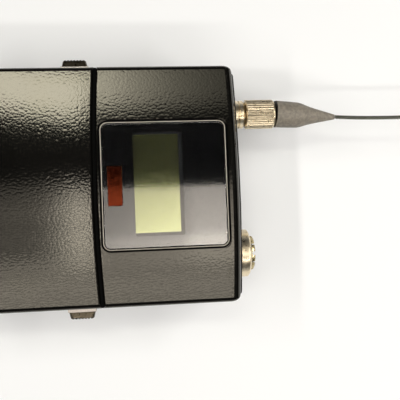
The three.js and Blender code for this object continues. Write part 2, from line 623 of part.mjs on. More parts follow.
// ---- belt clip and fasteners ---------------------------------------------------------------------
function clipBase() {
  // The screwed plate and the upper half of the bend.
  const shape = new THREE.Shape();
  const outerR = (-0.3 - CLIP_Z) / 2;
  const middleZ = CLIP_Z + outerR;
  shape.moveTo(19, -0.3 - CLIP_THICK);
  shape.lineTo(CLIP_BEND_X, -0.3 - CLIP_THICK);
  shape.absarc(CLIP_BEND_X, middleZ, outerR - CLIP_THICK, Math.PI / 2, 0, true);
  shape.lineTo(CLIP_BEND_X + outerR, middleZ);
  shape.absarc(CLIP_BEND_X, middleZ, outerR, 0, Math.PI / 2, false);
  shape.lineTo(19, -0.3);
  const plate = clipExtrusion(shape, CLIP_WIDTH / 2);
  return CLIP_SCREWS.reduce((rest, [x, y]) => rest.subtract(
    solid(rod("z", SCREW_HOLE_R, -3, 1, x, y, 12))), plate);
}

function clipExtrusion(shape, half) {
  // Draws the profile in X and Z and gives it a width along Y.
  const options = { depth: 2 * half, bevelEnabled: false, curveSegments: 6 };
  const geometry = new THREE.ExtrudeGeometry(shape, options);
  return solid(geometry.rotateX(Math.PI / 2).translate(0, half, 0));
}

function beltClip() {
  // The lower half of the bend, the leaf, and a step and lip near its free end that hold the belt.
  const outerR = (-0.3 - CLIP_Z) / 2;
  const middleZ = CLIP_Z + outerR - GAP;
  const top = CLIP_Z + CLIP_THICK;
  const shape = new THREE.Shape();
  shape.moveTo(CLIP_BEND_X + outerR, middleZ);
  shape.lineTo(CLIP_BEND_X + outerR - CLIP_THICK, middleZ);
  shape.quadraticCurveTo(CLIP_BEND_X + outerR - CLIP_THICK, top, CLIP_BEND_X, top);
  shape.lineTo(-17.5, top);
  shape.lineTo(-22, -0.9);
  shape.lineTo(-25.8, -0.9);
  shape.lineTo(-29.9, -3.9);
  shape.lineTo(-29.1, -4.8);
  shape.lineTo(-25.4, -2.1);
  shape.lineTo(-22.6, -2.1);
  shape.lineTo(-18.2, CLIP_Z);
  shape.lineTo(CLIP_BEND_X, CLIP_Z);
  shape.quadraticCurveTo(CLIP_BEND_X + outerR, CLIP_Z, CLIP_BEND_X + outerR, middleZ);
  return clipExtrusion(shape, CLIP_WIDTH / 2);
}

function clipScrew(x, y) {
  const head = solid(rod("z", 2.3, -2.6, -1.65, x, y, 16));
  const slot = solid(box(x - 3, x + 3, y - 0.3, y + 0.3, -3, -2.1));
  return head.add(solid(rod("z", CASE_SCREW_R, -2, 3.4, x, y, 12))).subtract(slot);
}

function caseScrew(x, y) {
  const head = solid(rod("z", 2.1, 0.25, 1.6, x, y, 16));
  const socket = solid(rod("z", 0.9, 0, 1.1, x, y, 6));
  return head.add(solid(rod("z", CASE_SCREW_R, 1.2, 16, x, y, 12))).subtract(socket);
}

function addFasteners() {
  add("clip_base", clipBase(), darkSteel());
  add("belt_clip", beltClip(), darkSteel());
  CLIP_SCREWS.forEach(([x, y], index) => add(`clip_screw_${index + 1}`, clipScrew(x, y), steel()));
  CASE_SCREWS.forEach(([x, y], index) => add(`case_screw_${index + 1}`, caseScrew(x, y), darkSteel()));
  add("label_plate", slab(-24, 0, 24, 34, -0.5, -0.1, 1.5), finish(0xa8a8a4, 0.4, 0.6));
}

// ---- assembly ------------------------------------------------------------------------------------
add("rear_housing", rearHousing(), coated());
add("front_housing", frontHousing(), coated());
add("end_panel", endPanel(), coated());
add("battery_door", batteryDoor(), coated());
add("door_seal", doorSeal(), rubber());
add("door_hinge_pin", rod("y", HINGE_PIN_R, -29.5, 29.5, HINGE_X, HINGE_Z, 12), steel());
add("door_pad", slab(-20, 0, 18, 26, 17, 21.2, 1.5), finish(0x2b2b2b, 0.9, 0));
for (const [name, side] of sides) add(`door_latch_${name}`, latch(side), steel());
addDisplay();
addElectronics();
addBattery();
addAntenna();
addJack();
addFasteners();

export default part;
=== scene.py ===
# Looks for a wireless bodypack transmitter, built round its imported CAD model, with +Z out of the display.
# The camera, floor and lights are in metres and the pieces in millimetres.
import json
import math

import bmesh
import bpy
from mathutils import Matrix, Vector


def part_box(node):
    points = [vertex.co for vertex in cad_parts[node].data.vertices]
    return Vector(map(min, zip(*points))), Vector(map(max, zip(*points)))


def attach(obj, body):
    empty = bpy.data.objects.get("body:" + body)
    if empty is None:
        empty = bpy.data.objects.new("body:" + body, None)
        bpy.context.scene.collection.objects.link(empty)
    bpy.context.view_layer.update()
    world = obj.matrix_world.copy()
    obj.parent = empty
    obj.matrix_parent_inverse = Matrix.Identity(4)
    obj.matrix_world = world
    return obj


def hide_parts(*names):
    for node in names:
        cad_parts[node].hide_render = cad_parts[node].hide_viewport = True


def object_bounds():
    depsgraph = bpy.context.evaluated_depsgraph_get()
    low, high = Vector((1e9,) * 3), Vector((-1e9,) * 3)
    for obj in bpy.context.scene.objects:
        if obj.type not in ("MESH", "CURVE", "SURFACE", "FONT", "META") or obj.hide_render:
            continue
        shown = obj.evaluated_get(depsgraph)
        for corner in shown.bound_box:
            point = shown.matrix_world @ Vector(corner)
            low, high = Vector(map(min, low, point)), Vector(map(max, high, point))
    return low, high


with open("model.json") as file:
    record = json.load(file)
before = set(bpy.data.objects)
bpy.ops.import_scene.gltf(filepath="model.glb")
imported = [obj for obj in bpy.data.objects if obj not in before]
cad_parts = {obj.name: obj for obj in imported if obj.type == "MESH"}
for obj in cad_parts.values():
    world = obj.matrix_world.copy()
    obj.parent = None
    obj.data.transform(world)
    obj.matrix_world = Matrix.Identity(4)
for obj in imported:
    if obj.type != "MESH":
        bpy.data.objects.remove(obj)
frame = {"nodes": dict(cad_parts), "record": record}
cad_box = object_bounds()
NODES = frame["nodes"]
MM = 0.001


# ---- camera, floor and light ---------------------------------------------------------------------
CAMERA_AT = Vector((7.5, -12.9, 214.6)) * MM
CAMERA_AIM = Vector((31.0, -4.6, 23.0)) * MM
CAMERA_UP = Vector((0.0346, 0.9983, 0.0472))
CAMERA_LENS = 63.0
CAMERA_SENSOR = 36.0
CAMERA_CLIP_START = 0.01
FLOOR_Z = cad_box[0][2]
FLOOR_DROP = 0.0001  # keeps the floor just clear of the lowest face
FLOOR_SIZE = 4
FLOOR_COLOR = (0.87, 0.90, 0.93, 1)
LIGHT_Z = 0.62  # height of the overhead softboxes


def add_camera():
    data = bpy.data.cameras.new("camera")
    data.lens = CAMERA_LENS
    data.sensor_width = CAMERA_SENSOR
    data.clip_start = CAMERA_CLIP_START
    camera = bpy.data.objects.new("camera", data)
    bpy.context.scene.collection.objects.link(camera)
    back = (CAMERA_AT - CAMERA_AIM).normalized()
    right = CAMERA_UP.cross(back).normalized()
    up = back.cross(right)
    turn = Matrix((right, up, back)).transposed().to_4x4()
    camera.matrix_world = Matrix.Translation(CAMERA_AT) @ turn
    bpy.context.scene.camera = camera


add_camera()


def node_material(name):
    material = bpy.data.materials.new(name)
    material.use_nodes = True
    tree = material.node_tree
    shader = tree.nodes["Principled BSDF"]
    return material, tree, shader


def add_floor():
    bpy.ops.mesh.primitive_plane_add(size=FLOOR_SIZE, location=(0, 0, FLOOR_Z - FLOOR_DROP))
    floor = bpy.context.object
    floor.name = "floor"
    material, _, shader = node_material("floor")
    shader.inputs["Base Color"].default_value = FLOOR_COLOR
    shader.inputs["Roughness"].default_value = 0.8
    floor.data.materials.append(material)


FLAT = [(0.0, 1.0), (1.0, 1.0)]
SLAT_STEPS = 6  # bright and dark strips, by turns, that bring out the grain of the paint
SLAT_DARK = 0.1
SLATS = [(i / SLAT_STEPS, SLAT_DARK if i % 2 else 1.0) for i in range(SLAT_STEPS + 1)]
WARM = (1.0, 0.945, 0.88)
CREAM = (1.0, 0.975, 0.85)
LOW_SHEET_Y = (-0.045, 0.038)
HIGH_SHEET_Y = (0.128, 0.185)
SIDE_STRIP_Y = (-0.35, 0.35)
HORIZON = (0.12, (0.88, 0.93, 1.0, 1))  # height and colour of the world's bright part
OVERHEAD = (0.4, (0.03, 0.032, 0.036, 1))
WORLD_STRENGTH = 0.4


def falloff(tree, source, stops):
    # A grey ramp through (place, level) pairs.
    node = tree.nodes.new("ShaderNodeValToRGB")
    elements = node.color_ramp.elements
    elements[0].position, elements[-1].position = stops[0][0], stops[-1][0]
    for place, level in stops[1:-1]:
        elements.new(place)
    for element, (place, level) in zip(elements, stops):
        element.color = (level, level, level, 1)
    tree.links.new(source, node.inputs["Fac"])
    return node.outputs["Color"]


def add_softbox(name, x, y, radiance, color=WARM, along_x=FLAT, along_y=FLAT, turn=0.0):
    # A level sheet of light overhead that covers these (start, end) ranges. The radiance is its brightness
    # where the levels along X and Y, which multiply, are both 1.
    data = bpy.data.lights.new(name, "AREA")
    data.shape = "RECTANGLE"
    data.size = x[1] - x[0]
    data.size_y = y[1] - y[0]
    data.energy = radiance * math.pi * data.size * data.size_y
    data.color = color
    data.use_nodes = True
    tree = data.node_tree
    place = tree.nodes.new("ShaderNodeNewGeometry").outputs["Parametric"]
    split = tree.nodes.new("ShaderNodeSeparateXYZ")
    tree.links.new(place, split.inputs["Vector"])
    product = tree.nodes.new("ShaderNodeMath")
    product.operation = "MULTIPLY"
    tree.links.new(falloff(tree, split.outputs["X"], along_x), product.inputs[0])
    tree.links.new(falloff(tree, split.outputs["Y"], along_y), product.inputs[1])
    tree.links.new(product.outputs["Value"], tree.nodes["Emission"].inputs["Strength"])
    light = bpy.data.objects.new(name, data)
    light.location = ((x[0] + x[1]) / 2, (y[0] + y[1]) / 2, LIGHT_Z)
    light.rotation_euler.z = turn
    bpy.context.scene.collection.objects.link(light)


def add_world():
    # A plain studio that is bright along the horizon and dark above it.
    world = bpy.data.worlds.new("studio")
    world.use_nodes = True
    tree = world.node_tree
    direction = tree.nodes.new("ShaderNodeTexCoord").outputs["Generated"]
    split = tree.nodes.new("ShaderNodeSeparateXYZ")
    tree.links.new(direction, split.inputs["Vector"])
    fade = tree.nodes.new("ShaderNodeValToRGB")
    for element, (position, color) in zip(fade.color_ramp.elements, (HORIZON, OVERHEAD)):
        element.position = position
        element.color = color
    tree.links.new(split.outputs["Z"], fade.inputs["Fac"])
    tree.links.new(fade.outputs["Color"], tree.nodes["Background"].inputs["Color"])
    tree.nodes["Background"].inputs["Strength"].default_value = WORLD_STRENGTH
    bpy.context.scene.world = world


def add_lights():
    # The dark band across the display face is the reflection of the gap between the low and high sheets.
    add_world()
    add_softbox("door_sheet", (-0.16, -0.016), LOW_SHEET_Y, 12.0,
                along_x=[(0.0, 0.16), (0.55, 0.2), (0.7, 0.36), (0.85, 0.95), (1.0, 1.3)], along_y=SLATS)
    add_softbox("window_sheet", (-0.016, 0.16), LOW_SHEET_Y, 6.0,
                along_x=[(0.0, 0.45), (0.25, 0.6), (0.55, 0.7), (0.65, 1.0), (1.0, 1.0)],
                along_y=[(0.0, 1.0), (0.25, 0.9), (0.4, 0.6), (0.7, 0.5), (1.0, 0.42)])
    add_softbox("near_sheet", (-0.16, 0.16), (-0.13, -0.045), 6.2, along_y=SLATS)
    add_softbox("high_left_sheet", (-0.20, -0.018), HIGH_SHEET_Y, 12.0, CREAM, turn=math.radians(-9))
    add_softbox("high_right_sheet", (-0.014, 0.16), HIGH_SHEET_Y, 9.0, CREAM,
                along_x=[(0.0, 1.0), (0.25, 0.52), (0.5, 0.26), (0.75, 0.13), (1.0, 0.07)])
    add_softbox("edge_strip_right", (0.42, 0.50), SIDE_STRIP_Y, 27.0)
    add_softbox("edge_strip_left", (-0.50, -0.45), SIDE_STRIP_Y, 23.0)
    add_softbox("edge_strip_near", (-0.30, 0.30), (-0.42, -0.37), 14.0)


bpy.context.scene.view_settings.view_transform = "Standard"
add_floor()
add_lights()


# ---- materials -----------------------------------------------------------------------------------
def link(tree, a, b):
    tree.links.new(a, b)


def coords(tree):
    return tree.nodes.new("ShaderNodeTexCoord").outputs["Object"]


def noise(tree, scale, detail=3.0, roughness=0.55):
    node = tree.nodes.new("ShaderNodeTexNoise")
    node.inputs["Scale"].default_value = scale
    node.inputs["Detail"].default_value = detail
    node.inputs["Roughness"].default_value = roughness
    link(tree, coords(tree), node.inputs["Vector"])
    return node.outputs["Fac"]


def ramp(tree, source, low, high, start=0.35, end=0.65):
    node = tree.nodes.new("ShaderNodeValToRGB")
    node.color_ramp.elements[0].position = start
    node.color_ramp.elements[1].position = end
    node.color_ramp.elements[0].color = (*low, 1)
    node.color_ramp.elements[1].color = (*high, 1)
    link(tree, source, node.inputs["Fac"])
    return node.outputs["Color"]


def spread(tree, source, low, high):
    # Stretches a noise, which mostly lies between 0.3 and 0.7, over this range.
    node = tree.nodes.new("ShaderNodeMapRange")
    node.inputs["From Min"].default_value = 0.3
    node.inputs["From Max"].default_value = 0.7
    node.inputs["To Min"].default_value = low
    node.inputs["To Max"].default_value = high
    link(tree, source, node.inputs["Value"])
    return node.outputs["Result"]


def bump(tree, shader, source, distance, strength=1.0, below=None):
    node = tree.nodes.new("ShaderNodeBump")
    node.inputs["Distance"].default_value = distance
    node.inputs["Strength"].default_value = strength
    link(tree, source, node.inputs["Height"])
    if below is not None:
        link(tree, below, node.inputs["Normal"])
    link(tree, node.outputs["Normal"], shader.inputs["Normal"])
    return node.outputs["Normal"]


def mottled(name, low, high, grain, metallic, rough, depth, specular):
    # A surface whose colour, gloss and height all vary a little with a fine noise.
    material, tree, shader = node_material(name)
    texture = noise(tree, grain)
    link(tree, ramp(tree, texture, low, high), shader.inputs["Base Color"])
    link(tree, spread(tree, texture, *rough), shader.inputs["Roughness"])
    shader.inputs["Metallic"].default_value = metallic
    shader.inputs["Specular IOR Level"].default_value = specular
    bump(tree, shader, texture, depth)
    return material


def domes(tree, scale):
    # Low rounded hills, one to a cell.
    cells = tree.nodes.new("ShaderNodeTexVoronoi")
    cells.inputs["Scale"].default_value = scale
    link(tree, coords(tree), cells.inputs["Vector"])
    square = tree.nodes.new("ShaderNodeMath")
    square.operation = "MULTIPLY"
    link(tree, cells.outputs["Distance"], square.inputs[0])
    link(tree, cells.outputs["Distance"], square.inputs[1])
    return square.outputs["Value"]


PEBBLES = 1450  # to the metre
PEBBLE_DEPTH = -0.000008
FINE_PEBBLES = 2700
FINE_PEBBLE_DEPTH = -0.0000015


def coated_metal():
    # Black satin paint over a coarse and a fine pebble grain.
    material, tree, shader = node_material("coated_metal")
    fine = noise(tree, 2600, 3)
    broad = noise(tree, 60, 2)
    color = ramp(tree, broad, (0.0026, 0.0025, 0.0022), (0.004, 0.0038, 0.0032))
    link(tree, color, shader.inputs["Base Color"])
    link(tree, spread(tree, fine, 0.055, 0.085), shader.inputs["Roughness"])
    shader.inputs["Specular Tint"].default_value = (1.0, 0.95, 0.82, 1)
    shader.inputs["Specular IOR Level"].default_value = 0.55
    coarse = bump(tree, shader, domes(tree, PEBBLES), PEBBLE_DEPTH, 1.0)
    bump(tree, shader, domes(tree, FINE_PEBBLES), FINE_PEBBLE_DEPTH, 1.0, coarse)
    return material


def window_glass():
    # Clear hard plastic with faint handling marks.
    material, tree, shader = node_material("window")
    shader.inputs["Base Color"].default_value = (1, 1, 1, 1)
    shader.inputs["Transmission Weight"].default_value = 1.0
    shader.inputs["IOR"].default_value = 1.56
    shader.inputs["Specular Tint"].default_value = (1.0, 0.95, 0.88, 1)
    marks = noise(tree, 1700, 5)
    link(tree, spread(tree, marks, 0.02, 0.05), shader.inputs["Roughness"])
    bump(tree, shader, marks, 0.0000015)
    return material


def lcd_material():
    # The pale reflector behind the liquid crystal acts like a dull yellow-green mirror.
    material, tree, shader = node_material("lcd")
    texture = noise(tree, 900, 2)
    link(tree, ramp(tree, texture, (0.29, 0.305, 0.14), (0.32, 0.335, 0.155)), shader.inputs["Base Color"])
    link(tree, spread(tree, texture, 0.06, 0.1), shader.inputs["Roughness"])
    shader.inputs["Metallic"].default_value = 0.9
    return material


# Low and high colour, grain to the metre, metallic, roughness range, bump depth, specular level.
MOTTLED = {
    "moulded_black": ((0.006, 0.006, 0.0055), (0.012, 0.012, 0.011), 1800, 0.0, (0.4, 0.55), 2e-5, 0.2),
    "gloss_mask": ((0.003, 0.003, 0.003), (0.005, 0.005, 0.005), 900, 0, (0.04, 0.08), 1e-6, 0.5),
    # lcd_painted_shadow: the LCD panel's dark blue-grey, which shows as painted shadow where the bright field
    # stops short of the aperture
    "lcd_painted_shadow": ((0.015, 0.017, 0.02), (0.022, 0.025, 0.03), 1500, 0, (0.4, 0.5), 2e-5, 0.2),
    "backlight": ((0.6, 0.6, 0.55), (0.7, 0.7, 0.66), 500, 0.0, (0.4, 0.55), 2e-5, 0.5),
    "ir_red": ((0.1, 0.016, 0.006), (0.12, 0.022, 0.008), 700, 1.0, (0.07, 0.12), 1e-6, 0.5),
    "led_lens": ((0.25, 0.4, 0.22), (0.3, 0.45, 0.26), 500, 0, (0.15, 0.25), 2e-5, 0.5),
    "circuit_board": ((0.01, 0.07, 0.02), (0.015, 0.1, 0.035), 900, 0.0, (0.4, 0.55), 2e-5, 0.5),
    "steel": ((0.42, 0.38, 0.35), (0.52, 0.48, 0.44), 2500, 1.0, (0.3, 0.45), 2e-5, 0.5),
    "latch_steel": ((0.07, 0.058, 0.04), (0.1, 0.085, 0.06), 1600, 1.0, (0.25, 0.35), 1e-5, 0.5),
    # rim_painted_highlight: pale cream that paints the highlight along the window's glossy rounded rim
    "rim_painted_highlight": ((0.46, 0.43, 0.36), (0.54, 0.505, 0.43), 1500, 0, (0.2, 0.3), 1e-6, 0.5),
    "black_steel": ((0.018, 0.018, 0.017), (0.028, 0.028, 0.026), 1500, 0.3, (0.3, 0.42), 2e-5, 0.5),
    "whip_wire": ((0.07, 0.073, 0.06), (0.17, 0.175, 0.145), 2500, 0.6, (0.3, 0.42), 2e-5, 0.5),
    "gold_plate": ((0.74, 0.62, 0.42), (0.83, 0.72, 0.53), 900, 1.0, (0.25, 0.36), 6e-6, 0.5),
    "worn_gold": ((0.42, 0.35, 0.19), (0.56, 0.47, 0.27), 900, 1.0, (0.24, 0.34), 8e-6, 0.5),
    "boot_rubber": ((0.15, 0.135, 0.11), (0.24, 0.215, 0.175), 1100, 0, (0.5, 0.65), 2e-5, 0.5),
    "button_rubber": ((0.1, 0.1, 0.1), (0.13, 0.13, 0.13), 2000, 0, (0.6, 0.75), 2e-5, 0.5),
    # painted_shade_black: near black with almost no gloss, the painted shade in the seam and the window's
    # groove
    "painted_shade_black": ((0.0008, 0.0008, 0.0008), (0.0014, 0.0014, 0.0014), 1500, 0, (0.7, 0.9), 1e-5, 0.05),
    "foam": ((0.01, 0.01, 0.01), (0.02, 0.02, 0.02), 2500, 0, (0.9, 1.0), 8e-5, 0.5),
    "cell_jacket": ((0.36, 0.3, 0.14), (0.38, 0.32, 0.155), 300, 0.5, (0.28, 0.34), 2e-6, 0.5),
    "cell_print": ((0.012, 0.012, 0.013), (0.016, 0.016, 0.017), 300, 0, (0.25, 0.32), 2e-6, 0.5),
    "blank_label": ((0.42, 0.42, 0.41), (0.47, 0.47, 0.46), 1200, 0.7, (0.35, 0.45), 2e-5, 0.5),
}
MATERIALS = {name: mottled(name, *row) for name, row in MOTTLED.items()}
MATERIALS["coated_metal"] = coated_metal()
MATERIALS["window"] = window_glass()
MATERIALS["lcd"] = lcd_material()


# ---- mesh helpers, all in millimetres ------------------------------------------------------------
def low(node):
    return Vector(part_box(node)[0]) / MM


def high(node):
    return Vector(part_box(node)[1]) / MM


def smooth(obj, angle=35):
    obj.data.shade_smooth()
    obj.data.set_sharp_from_angle(angle=math.radians(angle))


def weigh_normals(obj):
    modifier = obj.modifiers.new("normals", "WEIGHTED_NORMAL")
    modifier.keep_sharp = True


def object_from(name, bm):
    bmesh.ops.recalc_face_normals(bm, faces=bm.faces)
    bmesh.ops.scale(bm, vec=(MM, MM, MM), verts=bm.verts)
    mesh = bpy.data.meshes.new(name)
    bm.to_mesh(mesh)
    bm.free()
    obj = bpy.data.objects.new(name, mesh)
    bpy.context.scene.collection.objects.link(obj)
    return obj


def skin(bm, rings, joined=False):
    # Skins a row of equal rings into one closed surface, capped at its ends or joined end to end.
    rows = [[bm.verts.new(point) for point in ring] for ring in rings]
    pairs = list(zip(rows, rows[1:]))
    if joined:
        pairs.append((rows[-1], rows[0]))
    for a, b in pairs:
        for i in range(len(a)):
            j = (i + 1) % len(a)
            bm.faces.new((a[i], a[j], b[j], b[i]))
    if not joined:
        bm.faces.new(rows[0])
        bm.faces.new(rows[-1])


def skinned(name, rings, joined=False):
    bm = bmesh.new()
    skin(bm, rings, joined)
    return object_from(name, bm)


def finish_piece(obj, slot, body, *nodes, angle=35):
    obj.data.materials.append(MATERIALS[slot])
    smooth(obj, angle)
    weigh_normals(obj)
    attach(obj, body)
    if nodes:
        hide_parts(*nodes)
    return obj


def turned(profile, at, steps=64, tilt=0.0):
    # Rings of (x, radius) about an axis along X through a point; radius may depend on the angle.
    turn = Matrix.Rotation(tilt, 3, "Z")
    rings = []
    for x, radius in profile:
        ring = []
        for i in range(steps):
            angle = 2 * math.pi * i / steps
            r = radius(angle) if callable(radius) else radius
            ring.append(Vector(at) + turn @ Vector((x, r * math.cos(angle), r * math.sin(angle))))
        rings.append(ring)
    return rings


def plan_ring(x0, x1, y0, y1, radius, z, steps=6):
    # A rounded rectangle seen from above.
    corners = [(x1 - radius, y1 - radius), (x0 + radius, y1 - radius),
               (x0 + radius, y0 + radius), (x1 - radius, y0 + radius)]
    ring = []
    for quarter, (x, y) in enumerate(corners):
        for i in range(steps + 1):
            angle = math.pi / 2 * (quarter + i / steps)
            ring.append(Vector((x + radius * math.cos(angle), y + radius * math.sin(angle), z)))
    return ring


def soft_edges(z0, z1, edge, steps=3):
    # (inset, z) pairs up the side of a plate whose two rims are rounded.
    levels = []
    for i in range(steps + 1):
        angle = math.pi / 2 * i / steps
        levels.append((edge * (1 - math.sin(angle)), z0 + edge * (1 - math.cos(angle))))
    return levels + [(inset, z0 + z1 - z) for inset, z in reversed(levels)]


def plate_rings(x0, x1, y0, y1, radius, levels, steps=6):
    return [plan_ring(x0 + inset, x1 - inset, y0 + inset, y1 - inset, max(radius - inset, 0.05), z, steps)
            for inset, z in levels]


def frame_rings(x0, x1, y0, y1, radius, width, z0, z1, edge):
    # The closed section of a picture frame of that width, with softened edges.
    levels = soft_edges(z0, z1, edge, 2)
    outside = plate_rings(x0, x1, y0, y1, radius, levels)
    inner = radius - width
    inside = [plan_ring(x0 + width - inset, x1 - width + inset, y0 + width - inset, y1 - width + inset,
                        inner + inset, z) for inset, z in reversed(levels)]
    return outside + inside


def cut(obj, cutter):
    modifier = obj.modifiers.new("cut", "BOOLEAN")
    modifier.operation = "DIFFERENCE"
    modifier.solver = "EXACT"
    modifier.object = cutter
    shaped = obj.evaluated_get(bpy.context.evaluated_depsgraph_get())
    mesh = bpy.data.meshes.new_from_object(shaped)
    obj.modifiers.clear()
    obj.data = mesh
    bpy.data.objects.remove(cutter)
    return obj


# ---- CAD nodes that keep their shape -------------------------------------------------------------
SOFT_EDGED = {
    "battery_tray": 0.2, "control_panel": 0.2, "rf_shield_can": 0.15, "power_switch_body": 0.2,
    "power_switch_slider": 0.12, "main_board": 0.1, "control_board": 0.1, "door_pad": 0.4,
    "clip_base": 0.15, "belt_clip": 0.15, "label_plate": 0.1,
    "menu_button_1": 0.2, "menu_button_2": 0.2, "menu_button_3": 0.2, "menu_button_4": 0.2,
}


def finish_cad_nodes():
    slots = {row["node"]: row["material_slot"] for row in frame["record"]["subparts"]}
    for name, node in NODES.items():
        node.data.materials.clear()
        node.data.materials.append(MATERIALS[slots[name]])
        smooth(node)
        if name in SOFT_EDGED:
            bevel = node.modifiers.new("edges", "BEVEL")
            bevel.width = SOFT_EDGED[name] * MM
            bevel.segments = 2
            bevel.limit_method = "ANGLE"
            bevel.angle_limit = math.radians(40)
        weigh_normals(node)


# ---- display -------------------------------------------------------------------------------------
RIM_INSET = 0.36
RIM_WIDTH = 0.2
GROOVE = 0.28  # between the window's rim and its glossy plate
WINDOW_R = 2.4
SHADE_GASKET_OUT = 0.2  # how far the near black gasket, which paints the shade in the groove round the window, reaches past the window's outline
SHADE_GASKET_UNDER = 0.02  # how far it reaches under the plate
PRINT_GAP = 0.02  # between the print and the plate it is on
INFRARED_R = 0.25
INFRARED_FIT = 0.1
APERTURE_R = 0.7
MASK_THICK = 0.19  # black print behind the window
LCD_SHADE = 0.9  # width of the painted shadow inside the aperture at its high X and low Y sides: the dark blue-grey panel is left bare there, where the aperture's rim casts its shade
LCD_TOP_SHADE = 0.5  # the same at its high Y side
LCD_MARGIN = 0.2  # from the panel's edge to its bright field at the low X side, where no painted shadow shows
LCD_INSET = (1.2, 0.8)  # how far the aperture's edge lies inside the LCD panel's, along X and Y


def opening_cutter(x0, x1, y0, y1, radius):
    return skinned("cutter", plate_rings(x0, x1, y0, y1, radius, [(0, 10), (0, 40)]))


def grown(node, margin):
    a = low(node)
    b = high(node)
    return a.x - margin, b.x + margin, a.y - margin, b.y + margin


def lcd_aperture():
    a = low("lcd_glass")
    b = high("lcd_glass")
    return a.x + LCD_INSET[0], b.x - LCD_INSET[0], a.y + LCD_INSET[1], b.y - LCD_INSET[1]


def add_window():
    # A rim with a pale painted highlight, a groove filled with painted shade, and a clear plate with a black
    # mask printed on its back.
    a = low("display_window")
    b = high("display_window")
    rim_plan = grown("display_window", -RIM_INSET)
    # The rim's pale colour is a painted highlight of its glossy rounded top.
    rim = skinned("window_rim", frame_rings(
        *rim_plan, WINDOW_R - RIM_INSET, RIM_WIDTH, a.z, b.z - 0.02, RIM_WIDTH * 0.4), True)
    finish_piece(rim, "rim_painted_highlight", "base")
    inset = RIM_INSET + RIM_WIDTH + GROOVE
    plan = grown("display_window", -inset)
    # The gasket fills the groove under the rim and the plate's edge in near black: painted shade.
    shade_gasket_plan = grown("display_window", SHADE_GASKET_OUT)
    shade_gasket_width = SHADE_GASKET_OUT + inset + SHADE_GASKET_UNDER
    shade_gasket = skinned("window_gasket_painted_shade", frame_rings(
        *shade_gasket_plan, WINDOW_R + SHADE_GASKET_OUT, shade_gasket_width, a.z - 0.03, b.z - 0.5, 0.02), True)
    finish_piece(shade_gasket, "painted_shade_black", "base")
    plate = skinned("window_plate", plate_rings(
        *plan, WINDOW_R - inset, soft_edges(a.z + MASK_THICK + PRINT_GAP, b.z, 0.1)))
    infrared_plan = grown("ir_filter", INFRARED_FIT)
    cut(plate, opening_cutter(*infrared_plan, INFRARED_R))
    finish_piece(plate, "window", "base", "display_window")
    mask = skinned("window_mask", plate_rings(
        *plan, WINDOW_R - inset, soft_edges(a.z, a.z + MASK_THICK, 0.02, 1)))
    cut(mask, opening_cutter(*lcd_aperture(), APERTURE_R))
    cut(mask, opening_cutter(*infrared_plan, INFRARED_R))
    finish_piece(mask, "gloss_mask", "base")


def add_display():
    add_window()
    a = low("ir_filter")
    b = high("ir_filter")
    lens = skinned("infrared_window", plate_rings(
        *grown("ir_filter", 0), INFRARED_R, soft_edges(a.z, b.z, 0.08)))
    finish_piece(lens, "ir_red", "base", "ir_filter")
    a = low("lcd_glass")
    b = high("lcd_glass")
    glass = skinned("lcd_panel", plate_rings(*grown("lcd_glass", 0), 0.3, soft_edges(a.z, b.z - 0.1, 0.05)))
    finish_piece(glass, "lcd_painted_shadow", "base", "lcd_glass")
    # The bright field stops short of the aperture at three sides, so the dark panel shows there as a painted
    # shadow of the aperture's rim.
    _, x1, y0, y1 = lcd_aperture()
    field = skinned("lcd_field", plate_rings(
        a.x + LCD_MARGIN, x1 - LCD_SHADE, y0 + LCD_SHADE, y1 - LCD_TOP_SHADE, 0.3,
        soft_edges(b.z - 0.2, b.z, 0.05)))
    finish_piece(field, "lcd", "base")


# ---- antenna -------------------------------------------------------------------------------------
CASE_END = 43.0  # outer face of the end panel, along X
FLANGE_SUNK = 0.1  # how far a connector's flange starts inside that face
BOOT_TILT = math.radians(-4)
BOOT_PROFILE = [  # from the ferrule to the wire
    (-0.35, 3.8), (-0.31, 3.93), (-0.2, 3.97), (3.5, 3.88), (6.3, 3.74), (7.4, 3.52), (8.4, 3.18), (9.8, 2.7),
    (11.5, 2.24), (13.5, 1.76), (15.4, 1.32), (16.8, 0.98), (17.5, 0.82), (17.85, 0.7), (17.9, 0.6),
]
KNURLS = 34
KNURL_DEPTH = 0.22
NUT_COLLAR = 0.32  # how far the nut's smooth ends lie below its knurl
NUT_BORE_R = 2.7
NUT_THREAD_R = 1.9
SOCKET_SHANK_R = 3.1
SOCKET_BORE_R = 2.3


def axis_of(node):
    middle = (low(node) + high(node)) / 2
    return Vector((0, middle.y, middle.z))


def knurl(outer, depth):
    def radius(angle):
        wave = math.cos(KNURLS * angle)
        return outer - depth * (0.5 - 0.5 * wave)
    return radius


def add_antenna_nut():
    a = low("antenna_nut")
    b = high("antenna_nut")
    outer = (b.z - a.z) / 2
    root = outer - NUT_COLLAR
    profile = [(a.x, root - 0.35), (a.x + 0.35, root), (a.x + 0.36, knurl(outer, KNURL_DEPTH)),
               (b.x - 0.75, knurl(outer, KNURL_DEPTH)), (b.x - 0.74, root), (b.x - 0.4, root + 0.1),
               (b.x, root - 0.5), (b.x, NUT_THREAD_R), (b.x - 1.8, NUT_THREAD_R), (b.x - 1.8, NUT_BORE_R),
               (a.x, NUT_BORE_R)]
    nut = skinned("coupling_nut", turned(profile, axis_of("antenna_nut"), KNURLS * 8), True)
    finish_piece(nut, "gold_plate", "antenna_nut", "antenna_nut", angle=50)


